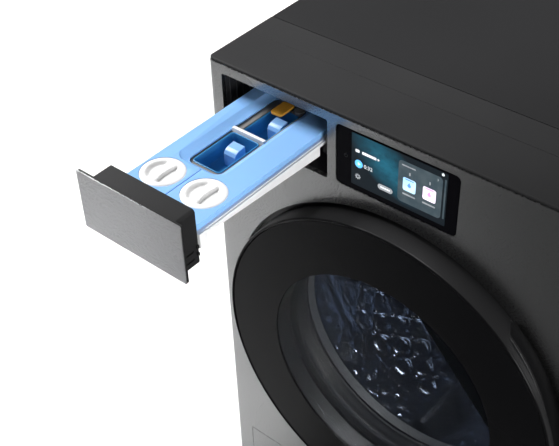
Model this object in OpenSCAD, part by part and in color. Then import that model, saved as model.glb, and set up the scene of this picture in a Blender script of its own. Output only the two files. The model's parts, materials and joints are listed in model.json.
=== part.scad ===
// Front load washing machine with a pulled out dosing drawer.
// X runs to the machine's right, the front faces -Y, and Z is height above the floor.
// Inside placed(), y = 0 is the plane of the front panel and y grows into the machine.

/* [Cabinet] */
// Width over the side panels
cabinet_w = 686; // [680:1:700]
// Height from the floor to the top
cabinet_h = 984; // [980:1:1000]
// Depth from the front panel to the rear edge
cabinet_d = 796; // [790:1:830]
// Thickness of the pressed steel sheets
sheet_t = 1.5; // [1.2:0.1:2]
// Radius of the front panel's vertical edges
edge_r = 8; // [6:1:10]
// Height of the cabinet's lower edge above the floor
floor_gap = 20; // [16:1:24]

/* [Door] */
// Height of the door's centre above the floor
door_z = 533; // [530:1:536]
// Outer radius of the door's side wall
door_r = 302; // [300:1:303]
// Radius of the hole in the front panel
door_hole_r = 310.5; // [310:0.1:312]
// How far the door stands out from the front panel
door_proud = 32.5; // [30:0.5:34]
// Radius of the clear window in the door
window_r = 203; // [201:1:204]
// Angles between which the finger recess runs, from the right hand side upwards
grip_from = -20; // [-30:1:0]
// Upper end of the finger recess
grip_to = 50; // [40:1:55]

/* [Drum] */
// Outer radius of the drum shell
drum_r = 277; // [270:1:279]
// Outer radius of the tub shell
tub_r = 303; // [302:1:305]
// Radius of the drum's front opening
drum_mouth_r = 222; // [220:1:226]

/* [Drawer] */
// Width of the drawer opening
bay_w = 197; // [196:1:199]
// Height of the drawer opening
bay_h = 101; // [100:1:102]
// Distance of the opening's top edge below the cabinet's top
bay_drop = 19; // [18.5:0.5:20]
// How far the drawer is pulled out
drawer_out = 288; // [280:1:290]
// Radius of the two filler caps
cap_r = 32.4; // [32:0.2:33]

/* [Display] */
// Width of the display glass
glass_w = 201; // [198:1:204]
// Height of the display glass
glass_h = 100.5; // [99:0.5:101]

/* [Hidden] */
$fn = 96;

// The front plane's place puts the origin under the middle of the whole machine
front_y = -(cabinet_d - drawer_out) / 2;
half_w = cabinet_w / 2;
// Clearance between neighbouring parts that only touch by design
gap = 0.3;

// Top
top_t = 4.4;
skirt_h = 20;
trim_back = 146.5;
plate_front = 148;

// Drawer bay
bay_x = -219;
bay_top = cabinet_h - bay_drop;
bay_mid_z = bay_top - bay_h / 2;
flange_d = 8;
wall_t = 2.5;
housing_back = 372;

// Drawer, as it stands pulled out
fascia_w = bay_w - 6;
fascia_h = bay_h - 4;
tray_front = -249.2;
tray_back = 70;
tray_left = -288;
tray_right = -135;
tray_top = cabinet_h - 64;
tray_floor = cabinet_h - 92;
// The tanks and the cup well hang below the tray's flange, inside its side skirts
body_left = tray_left + 15;
body_right = tray_right - 15;
cover_top = cabinet_h - 53;
cover_right = -137.5;
cover_back = 66;
tank_front = -232;
tank_back = -161;
tank_mid_x = -214;
cap_y = -192.6;
cap_pitch = 76.4;
cap_neck_r = 30;
// Opening in the cover above the cups
well_left = -250;
well_right = -189;
well_front = -150;
well_rear = 46;
well_margin = 5;
cup_floor = cabinet_h - 89;
front_cup = [-246.5, -194.5, -143, -57];
rear_cup = [-239.5, -194.5, -49.7, 32];
// Lift-out inserts in the cups
front_insert = [-228, -206, -98, -76];
rear_insert = [-219.5, -197.5, -14, 7.5];
lever_top = cabinet_h - 55;

// Display
glass_x = -4.5;
glass_top = cabinet_h - 17;
glass_mid_z = glass_top - glass_h / 2;
lcd_w = 154;
lcd_h = 87;

// Door
rim_y = -door_proud;
frame_back = 11;
hinge_x = -290;
hinge_y = -19;
barrel_r = 6.5;
hinge_pin_r = 4;
surround_y = 16.3;
latch_x = 262;

// Drum and tub along Y
tub_front_y = 82;
tub_split_y = 330;
tub_back_y = 607;
drum_front_y = 96;
drum_back_y = 588;
shell_t = 3;
lifter_t = 1.6;
hub_back_y = 690;
front_bearing = [36, 15, 622, 641];
rear_bearing = [31, 12.5, 668, 685];
stator_r = 145.5;
rotor_r = 150;

// Suspension
damper_x = 150;
damper_ys = [200, 500];
damper_bore_r = 7;
spring_x = 272;
spring_y = 430;
spring_low = 752;
rail_z = 946;

// Pump and service flap
flap_x = -240;
flap_w = 130;
flap_z0 = 57;
flap_h = 110;
flap_pin_r = 1.5;
pump_z = 108;

// Rear
recess_d = 20;
recess_x = 310;
recess_z0 = 60;
recess_z1 = cabinet_h - 50;
rear_plate_y = cabinet_d - recess_d;
valve_z = 880;
valve_xs = [-262, -190];
thread_r = 13.2;
transit_x = 250;
transit_z = 190;
transit_hole_r = 11;
gland_pos = [230, 880];
drain_pos = [-262, 800];

steel = "dimgray";
dark = "#1c1c1e";
tub_grey = "#b9bcc0";

module placed() { translate([0, front_y, 0]) children(); }

// A box from its lowest to its highest corner
module span(low, high) { translate(low) cube(high - low); }

// A round bar along Y on the drum's axis
module disc_y(r, y0, y1) {
  translate([0, y0, door_z]) rotate([-90, 0, 0]) cylinder(r = r, h = y1 - y0);
}

// A round bar along Y at any place
module bar_y(x, z, r, y0, y1) {
  translate([x, y0, z]) rotate([-90, 0, 0]) cylinder(r = r, h = y1 - y0);
}

// A bar along X at any place
module bar_x(y, z, r, x0, x1) {
  translate([x0, y, z]) rotate([0, 90, 0]) cylinder(r = r, h = x1 - x0);
}

// A turned shape about the drum's axis, from [radius, y] points
module turned(points) {
  translate([0, 0, door_z]) rotate([-90, 0, 0]) rotate_extrude() polygon(points);
}

// Outline of a rectangle with rounded corners
function corner(cx, cy, r, a0, n = 6) = [
  for (i = [0:n]) [cx + r * cos(a0 + 90 * i / n), cy + r * sin(a0 + 90 * i / n)]
];
function rounded(w, h, r) = concat(
  corner(w / 2 - r, h / 2 - r, r, 0), corner(r - w / 2, h / 2 - r, r, 90),
  corner(r - w / 2, r - h / 2, r, 180), corner(w / 2 - r, r - h / 2, r, 270)
);

// A slab with rounded corners standing in the XZ plane, centred on x and z
module upright(x, z, w, h, r, y0, y1) {
  translate([x, y1, z]) rotate([90, 0, 0]) linear_extrude(y1 - y0) polygon(rounded(w, h, r));
}

// A slab with rounded corners lying flat, centred on x and y
module flat(x, y, w, d, r, z0, z1) {
  translate([x, y, z0]) linear_extrude(z1 - z0) polygon(rounded(w, d, r));
}

// A YZ outline drawn out along X
module along_x(x0, x1) { translate([x0, 0, 0]) rotate([90, 0, 90]) linear_extrude(x1 - x0) children(); }

// An XZ outline drawn out along Y
module along_y(y0, y1) { translate([0, y1, 0]) rotate([90, 0, 0]) linear_extrude(y1 - y0) children(); }

// A frame around a rectangular opening
module collar(x, z, w, h, r, t, y0, y1) {
  difference() {
    upright(x, z, w + 2 * t, h + 2 * t, r + t, y0, y1);
    upright(x, z, w, h, r, y0 - 1, y1 + 1);
  }
}

// Sector of a ring about the drum's axis, between two angles measured upwards from +X
module ring_sector(r0, r1, y0, y1, a0, a1) {
  translate([0, y1, door_z]) rotate([90, 0, 0]) rotate([0, 0, a0])
    rotate_extrude(angle = a1 - a0) translate([r0, 0]) square([r1 - r0, y1 - y0]);
}

module base_frame() {
  color("#3a3b3d") placed() {
    difference() {
      union() {
        span([-340, 17, floor_gap], [340, rear_plate_y - 2, 60]);
        // bosses that take the feet
        for (x = [-300, 300], y = [60, 715]) translate([x, y, 21]) cylinder(r = 16, h = 36);
      }
      difference() {
        span([-338, 19, 22], [338, rear_plate_y - 4, 70]);
        for (x = [-300, 300], y = [60, 715]) translate([x, y, 20]) cylinder(r = 16, h = 36);
        // damper feet
        for (x = [-damper_x, damper_x], y = damper_ys) translate([x, y, 20]) cylinder(r = 22, h = 20);
      }
      for (x = [-300, 300], y = [60, 715]) translate([x, y, 0]) cylinder(r = 5, h = 80);
    }
  }
}

module levelling_feet() {
  color("#202020") placed() for (x = [-300, 300], y = [60, 715]) translate([x, y, 0]) {
    cylinder(r = 24, h = 8);
    translate([0, 0, 8]) cylinder(r = 15, h = 6, $fn = 6);
    translate([0, 0, 14]) cylinder(r = 4.95, h = 40);
  }
}

module side_panel(side) {
  outer = side * half_w;
  inner = side * (half_w - sheet_t);
  lip = side * (half_w - 14);
  span([min(outer, inner), 14.5, floor_gap], [max(outer, inner), cabinet_d, cabinet_h - skirt_h - gap]);
  // rear edge folded inwards
  span([min(lip, inner), cabinet_d - sheet_t, floor_gap + 1],
    [max(lip, inner), cabinet_d, cabinet_h - skirt_h - gap]);
}

module side_panel_left() { color("#77797c") placed() side_panel(-1); }
module side_panel_right() { color("#77797c") placed() side_panel(1); }

module rear_panel() {
  color("#8a8c8f") placed() difference() {
    union() {
      difference() {
        span([-328.5, cabinet_d - sheet_t, floor_gap + 1],
          [328.5, cabinet_d, cabinet_h - skirt_h - gap]);
        span([-recess_x, cabinet_d - 5, recess_z0], [recess_x, cabinet_d + 1, recess_z1]);
      }
      // walls and floor of the recess
      difference() {
        span([-recess_x - 1.5, rear_plate_y, recess_z0 - 1.5],
          [recess_x + 1.5, cabinet_d - 1, recess_z1 + 1.5]);
        span([-recess_x, rear_plate_y + sheet_t, recess_z0], [recess_x, cabinet_d + 1, recess_z1]);
      }
    }
    // service opening behind the motor
    disc_y(175, rear_plate_y - 1, cabinet_d + 1);
    for (x = valve_xs) bar_y(x, valve_z, 16, rear_plate_y - 1, cabinet_d + 1);
    bar_y(gland_pos.x, gland_pos.y, 12.2, rear_plate_y - 1, cabinet_d + 1);
    bar_y(drain_pos.x, drain_pos.y, 14, rear_plate_y - 1, cabinet_d + 1);
    for (x = [-transit_x, transit_x], z = [-transit_z, transit_z])
      bar_y(x, door_z + z, transit_hole_r, rear_plate_y - 1, cabinet_d + 1);
  }
}

module rear_service_cover() {
  color("#8a8c8f") placed() {
    disc_y(192, rear_plate_y + sheet_t, rear_plate_y + 2.8);
    turned([
      [150, rear_plate_y + 2.6], [172, rear_plate_y + 2.6], [168, rear_plate_y + 8], [154, rear_plate_y + 8]
    ]);
  }
}

// Plan outline of the front panel: a sheet with rounded ends that return along the sides
function front_section(r, t) = concat(
  [[half_w, 14]], [for (i = [0:8]) [half_w - r + r * cos(90 * i / 8), r - r * sin(90 * i / 8)]],
  [for (i = [0:8]) [r - half_w - r * sin(90 * i / 8), r - r * cos(90 * i / 8)]], [[-half_w, 14]],
  [[t - half_w, 14]],
  [for (i = [8:-1:0]) [r - half_w - (r - t) * sin(90 * i / 8), r - (r - t) * cos(90 * i / 8)]],
  [for (i = [8:-1:0]) [half_w - r + (r - t) * cos(90 * i / 8), r - (r - t) * sin(90 * i / 8)]],
  [[half_w - t, 14]]
);

module front_panel() {
  color("#8b8d90") placed() {
    difference() {
      union() {
        difference() {
          translate([0, 0, floor_gap]) linear_extrude(cabinet_h - top_t - gap - floor_gap)
            polygon(front_section(edge_r, sheet_t));
          disc_y(door_hole_r, -1, 5);
          upright(bay_x, bay_mid_z, bay_w, bay_h, 4, -1, 5);
          upright(glass_x, glass_mid_z, glass_w + 1, glass_h + 1, 8, -1, 5);
          upright(flap_x, flap_z0 + flap_h / 2, flap_w + 1.6, flap_h + 3.4, 3, -1, 5);
        }
        // edges of the openings folded inwards
        turned([[door_hole_r, 1], [door_hole_r + sheet_t, 1], [door_hole_r + sheet_t, 16], [door_hole_r, 16]]);
        collar(bay_x, bay_mid_z, bay_w, bay_h, 4, sheet_t, 0.5, flange_d);
        collar(glass_x, glass_mid_z, glass_w + 1, glass_h + 1, 8, sheet_t, 0.5, 12);
        collar(flap_x, flap_z0 + flap_h / 2, flap_w + 1.6, flap_h + 3.4, 3, sheet_t, 0.5, 9);
        span([-half_w + 9, 1, cabinet_h - top_t - gap - sheet_t], [half_w - 9, 12, cabinet_h - top_t - gap]);
      }
      bar_x(2.6, flap_z0 + 1.6, flap_pin_r + 0.05, flap_x - 70, flap_x + 70);
    }
  }
}

module service_flap() {
  color("#8b8d90") placed() {
    difference() {
      upright(flap_x, flap_z0 + flap_h / 2, flap_w, flap_h, 2.5, 0.3, 3);
      span([flap_x - 25, 1.8, flap_z0 + flap_h - 12], [flap_x + 25, 4, flap_z0 + flap_h - 6]);
    }
    bar_x(2.6, flap_z0 + 1.6, flap_pin_r, flap_x - flap_w / 2 - 2, flap_x + flap_w / 2 + 2);
  }
}

// Cap over the cabinet with skirts down both sides
module top_section(y0, y1, skirt_y0) {
  span([-half_w, y0, cabinet_h - top_t], [half_w, y1, cabinet_h]);
  for (x = [-half_w, half_w - 2])
    span([x, skirt_y0, cabinet_h - skirt_h], [x + 2, y1, cabinet_h - top_t + 0.5]);
}

module top_plate() {
  color("#2b2c2e") placed() {
    top_section(plate_front, cabinet_d, plate_front);
    span([-half_w + 1, cabinet_d - 2, cabinet_h - skirt_h], [half_w - 1, cabinet_d, cabinet_h - 2]);
  }
}

module top_front_trim() {
  color("#2f3032") placed() difference() {
    union() {
      // front corners follow the rounded edges of the front panel
      translate([0, 0, cabinet_h - top_t]) linear_extrude(top_t) polygon(concat(
        [for (i = [0:8]) [half_w - 8 + 8 * cos(90 * i / 8), 9.6 - 8 * sin(90 * i / 8)]],
        [for (i = [0:8]) [8 - half_w - 8 * sin(90 * i / 8), 9.6 - 8 * cos(90 * i / 8)]],
        [[-half_w, trim_back], [half_w, trim_back]]
      ));
      for (x = [-half_w, half_w - 2])
        span([x, 14.5, cabinet_h - skirt_h], [x + 2, trim_back, cabinet_h - top_t + 0.5]);
    }
    // score line across the trim
    span([-half_w - 1, 92.6, cabinet_h - 0.8], [half_w + 1, 93.4, cabinet_h + 1]);
    // chamfered front edge
    translate([0, 1.6, cabinet_h]) rotate([45, 0, 0]) cube([cabinet_w + 2, 1.8, 1.8], center = true);
  }
}

module door_surround() {
  color(dark) placed() difference() {
    turned([
      [216, surround_y], [326, surround_y], [326, surround_y + 2.5], [219.5, surround_y + 2.5],
      [219.5, 27], [216, 27]
    ]);
    // slots for the latch hook and the hinge arm
    span([latch_x - 8, 10, door_z - 18], [latch_x + 12, 30, door_z + 18]);
  }
}

module drawer_housing() {
  color(dark) placed() {
    difference() {
      upright(bay_x, bay_mid_z, bay_w + 2 * wall_t, bay_h + 2 * wall_t, 6, flange_d + gap, housing_back);
      upright(bay_x, bay_mid_z, bay_w, bay_h, 4, 0, housing_back - wall_t);
    }
    // upright ribs on both side walls
    for (i = [0:8]) {
      span([bay_x - bay_w / 2 - 1, 16 + i * 14, bay_top - bay_h + 2],
        [bay_x - bay_w / 2 + 1.5, 18 + i * 14, bay_top - 2]);
      span([bay_x + bay_w / 2 - 1.5, 16 + i * 14, bay_top - bay_h + 2],
        [bay_x + bay_w / 2 + 1, 18 + i * 14, bay_top - 2]);
    }
    // rails under the drawer
    for (x = [-268, -165]) span([x, 45, bay_top - bay_h - 1], [x + 8, 362, tray_floor - gap]);
  }
}

module display_glass() {
  color("#08090b") placed() upright(glass_x, glass_mid_z, glass_w, glass_h, 7.5, 0.8, 3.6);
}

module display_panel() {
  color("#10141c") placed() {
    upright(0, glass_mid_z, lcd_w + 8, lcd_h + 6, 2, 3.9, 10);
    span([-60, 10, glass_mid_z - 30], [60, 13, glass_mid_z + 30]);
  }
}

module control_board() {
  color("#1f5b3a") placed() {
    span([-95, 16, glass_mid_z - 44], [90, 17.6, glass_mid_z + 44]);
    for (x = [-80, -40, 0, 40]) span([x, 17.6, glass_mid_z - 30], [x + 22, 28, glass_mid_z - 8]);
    for (x = [-70, -10, 50]) translate([x, 17.6, glass_mid_z + 18]) rotate([-90, 0, 0]) cylinder(r = 8, h = 22);
  }
}

module door_gasket() {
  color("#5d6065") placed() turned([
    [208, 13], [213, 13], [215.7, 15.5], [215.7, 28], [223, 28], [231, 34], [231, 48], [226, 54],
    [226, 63], [222, 64.5], [216, 64.5], [216, 61], [222, 58], [222, 51], [227, 46], [227, 37],
    [221, 32], [211, 32], [211, 24], [201, 20.5], [200.5, 18.5]
  ]);
}

module hinge_bracket() {
  color("#a9acb0") placed() difference() {
    union() {
      span([-306, 13.6, door_z - 55], [-262, surround_y - gap, door_z + 55]);
      // arm that carries the barrel
      span([hinge_x - 3, hinge_y + 4, door_z - 24], [hinge_x + 3, 14, door_z + 24]);
      translate([hinge_x, hinge_y, door_z - 24]) cylinder(r = barrel_r, h = 48);
    }
    translate([hinge_x, hinge_y, door_z - 30]) cylinder(r = hinge_pin_r + 0.05, h = 60);
  }
}

module door_lock() {
  color("#e6e6e6") placed() difference() {
    span([248, surround_y + 2.8, door_z - 45], [284, 62, door_z + 45]);
    span([latch_x - 7, 15, door_z - 14], [latch_x + 11, 45, door_z + 14]);
  }
}

module inlet_valves() {
  color("#2b5f9e") placed() for (x = valve_xs) {
    difference() {
      union() {
        bar_y(x, valve_z, thread_r, rear_plate_y + 1, cabinet_d - 2);
        bar_y(x, valve_z, 15.5, rear_plate_y - 30, rear_plate_y + 1.2);
        span([x - 22, rear_plate_y - 60, valve_z - 20], [x + 22, rear_plate_y - 28, valve_z + 20]);
        translate([x, rear_plate_y - 44, valve_z + 20]) cylinder(r = 14, h = 30);
      }
      bar_y(x, valve_z, 8, rear_plate_y - 20, cabinet_d);
    }
  }
}

module cord_gland() {
  color("#161616") placed() difference() {
    union() {
      bar_y(gland_pos.x, gland_pos.y, 12, rear_plate_y - 10, rear_plate_y + 12);
      bar_y(gland_pos.x, gland_pos.y, 16, rear_plate_y + sheet_t + 0.1, rear_plate_y + 6);
    }
    bar_y(gland_pos.x, gland_pos.y, 4.5, rear_plate_y - 11, rear_plate_y + 13);
  }
}

module drain_outlet() {
  color("#3c3f44") placed() difference() {
    union() {
      bar_y(drain_pos.x, drain_pos.y, 11, rear_plate_y + 1, cabinet_d - 2);
      bar_y(drain_pos.x, drain_pos.y, 13.5, rear_plate_y - 40, rear_plate_y + 1.2);
      bar_y(drain_pos.x, drain_pos.y, 18, rear_plate_y - 10, rear_plate_y - gap);
    }
    bar_y(drain_pos.x, drain_pos.y, 8, rear_plate_y - 41, cabinet_d);
  }
}

module drain_pump() {
  color("#d7d8da") placed() difference() {
    union() {
      bar_y(flap_x, pump_z, 31, 34, 120);
      bar_y(flap_x, pump_z, 44, 120, 160);
      bar_y(flap_x, pump_z, 26, 160, 215);
      span([flap_x - 20, 60, 22 + gap], [flap_x + 20, 150, pump_z - 20]);
      // suction and pressure stubs
      translate([flap_x, 90, pump_z]) cylinder(r = 17, h = 62);
      translate([flap_x + 32, 140, pump_z]) cylinder(r = 11, h = 70);
    }
    bar_y(flap_x, pump_z, 25, 30, 112);
  }
}

module filter_cap() {
  color("#3f6fb5") placed() {
    bar_y(flap_x, pump_z, 30, 22, 33.6);
    bar_y(flap_x, pump_z, 24.95, 33, 104);
    span([flap_x - 26, 12, pump_z - 5], [flap_x + 26, 23, pump_z + 5]);
  }
}

module spring_rail() {
  color("#8f9296") placed() {
    span([-341, spring_y - 18, rail_z - 3], [341, spring_y + 18, rail_z]);
    span([-341, spring_y + 15, rail_z - 26], [341, spring_y + 18, rail_z - 2]);
  }
}

module damper_cylinders() {
  color("#4a4c50") placed() for (x = [-damper_x, damper_x], y = damper_ys) translate([x, y, 0]) {
    difference() {
      translate([0, 0, 40 + gap]) cylinder(r = 15, h = 120);
      translate([0, 0, 52]) cylinder(r = damper_bore_r, h = 120);
    }
  }
}

module damper_rods() {
  color("#c4c6c9") placed() for (x = [-damper_x, damper_x], y = damper_ys) {
    translate([x, y, 80]) cylinder(r = damper_bore_r - 0.05, h = 152);
    difference() {
      span([x - 20, y - 18, 228], [x + 20, y + 18, 290]);
      disc_y(tub_r + gap, y - 30, y + 30);
    }
  }
}

module tub_front() {
  color(tub_grey) placed() turned([
    [216, 68], [220, 68], [220, tub_front_y], [tub_r, tub_front_y], [tub_r, 318], [314, 318],
    [314, tub_split_y - gap], [tub_r - shell_t, tub_split_y - gap],
    [tub_r - shell_t, tub_front_y + shell_t], [216, tub_front_y + shell_t]
  ]);
}

module tub_rear() {
  color(tub_grey) placed() {
    difference() {
      turned([
        [tub_r - shell_t, tub_split_y], [314, tub_split_y], [314, 342], [tub_r, 342],
        [tub_r, tub_back_y + 4], [96, tub_back_y + 4], [96, 694], [80, 694], [80, hub_back_y],
        [front_bearing[0] - 5, hub_back_y], [rear_bearing[0], hub_back_y], [rear_bearing[0], 668],
        [26, 668], [26, 641], [front_bearing[0], 641], [front_bearing[0], tub_back_y],
        [tub_r - shell_t, tub_back_y]
      ]);
      for (x = [-25, 25]) bar_y(x, 245, 4, tub_back_y - 1, tub_back_y + 6);
      // drain sump
      translate([0, 440, 200]) cylinder(r = 20, h = 60);
    }
    // ears that hang from the springs
    for (side = [-1, 1]) difference() {
      span([side * spring_x - 14, spring_y - 12, 690], [side * spring_x + 14, spring_y + 12, spring_low]);
      disc_y(tub_r - 1, spring_y - 20, spring_y + 20);
    }
  }
}

module counterweights() {
  color("#9b9891") placed() for (a = [22, 202]) ring_sector(246, 300, 46, tub_front_y - gap, a, a + 136);
}

module bearing(b) {
  difference() {
    disc_y(b[0], b[2], b[3]);
    disc_y(b[1], b[2] - 1, b[3] + 1);
  }
}

module shaft_bearings() {
  color("#b4b7bb") placed() {
    bearing(front_bearing);
    bearing(rear_bearing);
  }
}

module shaft_seal() {
  color("#202020") placed() turned([
    [15.05, 609], [front_bearing[0], 609], [front_bearing[0], 619], [22, 619], [22, 612], [15.05, 612]
  ]);
}

module heater() {
  color("#c9c6bf") placed() {
    for (x = [-25, 25]) bar_y(x, 245, 3.5, 400, 640);
    translate([0, 400, 245]) rotate([0, 0, 180]) rotate_extrude(angle = 180) translate([25, 0]) circle(3.5);
    span([-38, tub_back_y + 4 + gap, 236], [38, tub_back_y + 12, 256]);
  }
}

module motor_stator() {
  color("#8e5a35") placed() {
    turned([[81, 694 + gap], [104, 694 + gap], [104, 730], [81, 730]]);
    for (i = [0:35]) translate([0, 0, door_z]) rotate([0, i * 10, 0])
      span([103, 698, -4.5], [stator_r - 4, 726, 4.5]);
    for (i = [0:35]) translate([0, 0, door_z]) rotate([0, i * 10, 0])
      span([stator_r - 4.5, 700, -8], [stator_r - 1, 724, 8]);
  }
}

module motor_rotor() {
  color("#9da0a4") placed() difference() {
    turned([
      [12.5, 728], [26, 728], [26, 737], [rotor_r - 3, 737], [rotor_r - 3, 702], [rotor_r, 702],
      [rotor_r, 741], [26, 741], [26, 748], [12.5, 748]
    ]);
    for (i = [0:11]) translate([0, 0, door_z]) rotate([0, i * 30 + 15, 0])
      translate([85, 760, 0]) rotate([90, 0, 0]) cylinder(r = 15, h = 40);
  }
}

// Rings of a hanging spring: a coil whose ends turn upwards and downwards into straight hooks
coil_r = 13;
coil_turns = 8;
coil_steps = 10;
hook_h = 26;
coil_low = spring_low + gap + hook_h;
coil_high = rail_z - 3 - gap - hook_h;
function coil_ring(i, n) =
  let (a = 360 * coil_turns * i / n)
  [[coil_r * cos(a), coil_r * sin(a), coil_low + (coil_high - coil_low) * i / n],
    [-sin(a), cos(a), 0], [cos(a), sin(a), 0]];
function hook_ring(up, k) =
  let (f = min(k, 3) * 30, rise = 8 * (1 - cos(f)) + (k > 3 ? 18 : 0))
  [[coil_r, up * 8 * sin(f), up > 0 ? coil_high + rise : coil_low - rise],
    [0, cos(f), sin(f)], [1, 0, 0]];
spring_rings = concat(
  [for (k = [4:-1:1]) hook_ring(-1, k)],
  [for (i = [0:coil_turns * coil_steps]) coil_ring(i, coil_turns * coil_steps)],
  [for (k = [1:4]) hook_ring(1, k)]
);
function unit(v) = v / norm(v);
function ring_points(ring, r, sides) =
  let (e2 = ring[2], e1 = unit(cross(ring[1], e2)))
  [for (j = [0:sides - 1]) ring[0] + r * (cos(360 * j / sides) * e1 + sin(360 * j / sides) * e2)];

module swept(rings, r, sides) {
  n = len(rings);
  polyhedron(
    points = [for (ring = rings) each ring_points(ring, r, sides)],
    faces = concat(
      [[for (j = [0:sides - 1]) j]],
      [for (i = [0:n - 2], j = [0:sides - 1])
        [i * sides + j, (i + 1) * sides + j, (i + 1) * sides + (j + 1) % sides]],
      [for (i = [0:n - 2], j = [0:sides - 1])
        [i * sides + j, (i + 1) * sides + (j + 1) % sides, i * sides + (j + 1) % sides]],
      [[for (j = [sides - 1:-1:0]) (n - 1) * sides + j]]
    )
  );
}

module hanging_springs() {
  color("#6e7175") placed() for (x = [-spring_x, spring_x])
    translate([x, spring_y, 0]) swept(spring_rings, 2.4, 6);
}

module drum_shell() {
  color("#9fa3a8") placed() difference() {
    disc_y(drum_r, drum_front_y, drum_back_y);
    disc_y(drum_r - 1.5, drum_front_y - 1, drum_back_y + 1);
  }
}

module drum_front_ring() {
  color("#b3b6ba") placed() turned([
    [drum_mouth_r, 88], [drum_mouth_r + 6, 86], [drum_mouth_r + 12, 90], [262, 93], [drum_r - 1.8, 97],
    [drum_r - 1.8, 100], [262, 96], [drum_mouth_r + 12, 94], [drum_mouth_r + 6, 90], [drum_mouth_r + 2, 92],
    [drum_mouth_r, 94]
  ]);
}

module drum_back() {
  color("#9fa3a8") placed() turned([
    [0, 560], [60, 560], [90, 574], [240, 582], [drum_r - 1.8, 585], [drum_r - 1.8, 587.5],
    [240, 584.5], [90, 576.5], [60, 562.5], [0, 562.5]
  ]);
}

// Lifter section, drawn in by the thickness of its pressed sheet
module lifter_bar(length, t) {
  rotate([-90, 0, 0]) linear_extrude(length) polygon([
    [drum_r - 4 + t, t - 34], [drum_r - 30 + t / 2, t - 20], [drum_r - 52 + t / 2, t - 8], [drum_r - 56 + t, 0],
    [drum_r - 52 + t / 2, 8 - t], [drum_r - 30 + t / 2, 20 - t], [drum_r - 4 + t, 34 - t]
  ]);
}

module drum_lifters() {
  color("#c7cacd") placed() for (a = [90, 210, 330]) translate([0, 0, door_z]) rotate([0, a, 0])
    difference() {
      translate([0, 110, 0]) lifter_bar(440, 0);
      translate([0, 112, 0]) lifter_bar(436, lifter_t);
    }
}

module drum_spider() {
  color("#8d9196") placed() {
    turned([[15, 590], [48, 590], [40, 604], [15, 604]]);
    for (a = [30, 150, 270]) translate([0, 0, door_z]) rotate([0, a, 0])
      span([36, 588, -16], [drum_r - 10, 602, 16]);
  }
}

module drum_shaft() {
  color("#c0c3c7") placed() {
    disc_y(14.97, 588.5, 641);
    disc_y(12.47, 640, 762);
  }
}

module door_ring() {
  color("#121214") placed() difference() {
    turned([
      [door_r - 5, rim_y + 1], [door_r - 3, rim_y], [door_r - 1.5, rim_y + 0.8], [door_r, rim_y + 3],
      [door_r, frame_back], [door_r - 3.5, frame_back], [door_r - 3.5, rim_y + 4], [door_r - 5, rim_y + 4]
    ]);
    // finger recess behind the front rim
    translate([0, 12, door_z]) rotate([90, 0, 0]) rotate([0, 0, grip_from])
      rotate_extrude(angle = grip_to - grip_from) translate([door_r - 10, 0]) square([20, 33]);
    // slot for the fixed hinge arm
    span([-door_r - 10, hinge_y - 9, door_z - 52], [-door_r + 26, 20, door_z + 52]);
  }
}

module door_glass() {
  color("#050507") placed() turned([
    [0, rim_y + 1.5], [door_r - 5.3, rim_y + 1.5], [door_r - 5.3, rim_y + 5.5], [0, rim_y + 5.5]
  ]);
}

module door_inner_frame() {
  color("#17181a") placed() {
    difference() {
      turned([
        [window_r + 2, -26.4], [window_r + 5, -26.4], [window_r + 5, 2], [window_r + 12, 5], [250, 7],
        [door_r - 4, 7], [door_r - 4, frame_back], [250, frame_back], [window_r + 12, 9],
        [window_r + 2, 5]
      ]);
      span([-door_r - 10, hinge_y - 9, door_z - 27], [-256, 20, door_z + 27]);
      // the back plate stops where the fingers reach in
      translate([0, 20, door_z]) rotate([90, 0, 0]) rotate([0, 0, grip_from])
        rotate_extrude(angle = grip_to - grip_from) translate([door_r - 26, 0]) square([40, 60]);
    }
    // wall of the finger recess
    ring_sector(door_r - 29.5, door_r - 26.5, -26.4, 8, grip_from, grip_to);
  }
}

module door_bowl() {
  color("#9fb4c4", 0.5) placed() turned([
    [200, -24], [204.7, -24], [204.7, -18], [202, 12], [192, 32], [176, 64], [164, 84], [150, 94],
    [100, 99], [0, 101], [0, 96], [98, 94], [146, 89.5], [160, 81], [171.5, 61], [187.5, 29], [197, 11]
  ]);
}

module hinge_leaf() {
  color("#a9acb0") placed() {
    for (z = [door_z - 48, door_z + 27.5]) {
      difference() {
        union() {
          translate([hinge_x, hinge_y, z]) cylinder(r = barrel_r, h = 20.5);
          span([hinge_x, hinge_y - 2.5, z], [hinge_x + 34, hinge_y + 2.5, z + 20.5]);
        }
        translate([hinge_x, hinge_y, z - 1]) cylinder(r = hinge_pin_r, h = 23);
      }
    }
    // plate screwed to the inner frame
    span([hinge_x + 30, hinge_y - 2.5, door_z - 48], [hinge_x + 34, 4, door_z + 48]);
  }
}

module hinge_pin() {
  color("#d0d2d5") placed() translate([hinge_x, hinge_y, door_z - 50]) cylinder(r = hinge_pin_r, h = 100);
}

module latch_hook() {
  color("#c9ccd0") placed() difference() {
    union() {
      span([latch_x - 4, frame_back + 0.1, door_z - 16], [latch_x + 4, 14, door_z + 16]);
      span([latch_x - 2, 13, door_z - 9], [latch_x + 2, 38, door_z + 9]);
    }
    span([latch_x - 5, 24, door_z - 5], [latch_x + 5, 33, door_z + 5]);
  }
}

module drawer_fascia() {
  color("#a7a9ac") placed() upright(bay_x, bay_mid_z, fascia_w, fascia_h, 2, -drawer_out, 1.6 - drawer_out);
}

module drawer_shell() {
  color("#2d2d2f") placed() {
    upright(bay_x, bay_mid_z, fascia_w - 1, fascia_h - 1, 2, 1.6 - drawer_out, 5 - drawer_out);
    difference() {
      upright(-213.5, bay_mid_z, 155, 91, 5, 4.5 - drawer_out, -249.6);
      upright(-213.5, bay_mid_z, 150, 86, 3, 8 - drawer_out, -252.5);
    }
    // clips that hold the tray's bracket
    for (z = [cabinet_h - 86, cabinet_h - 98]) span([-138, -254, z], [-133, -250.4, z + 5]);
  }
}

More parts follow.
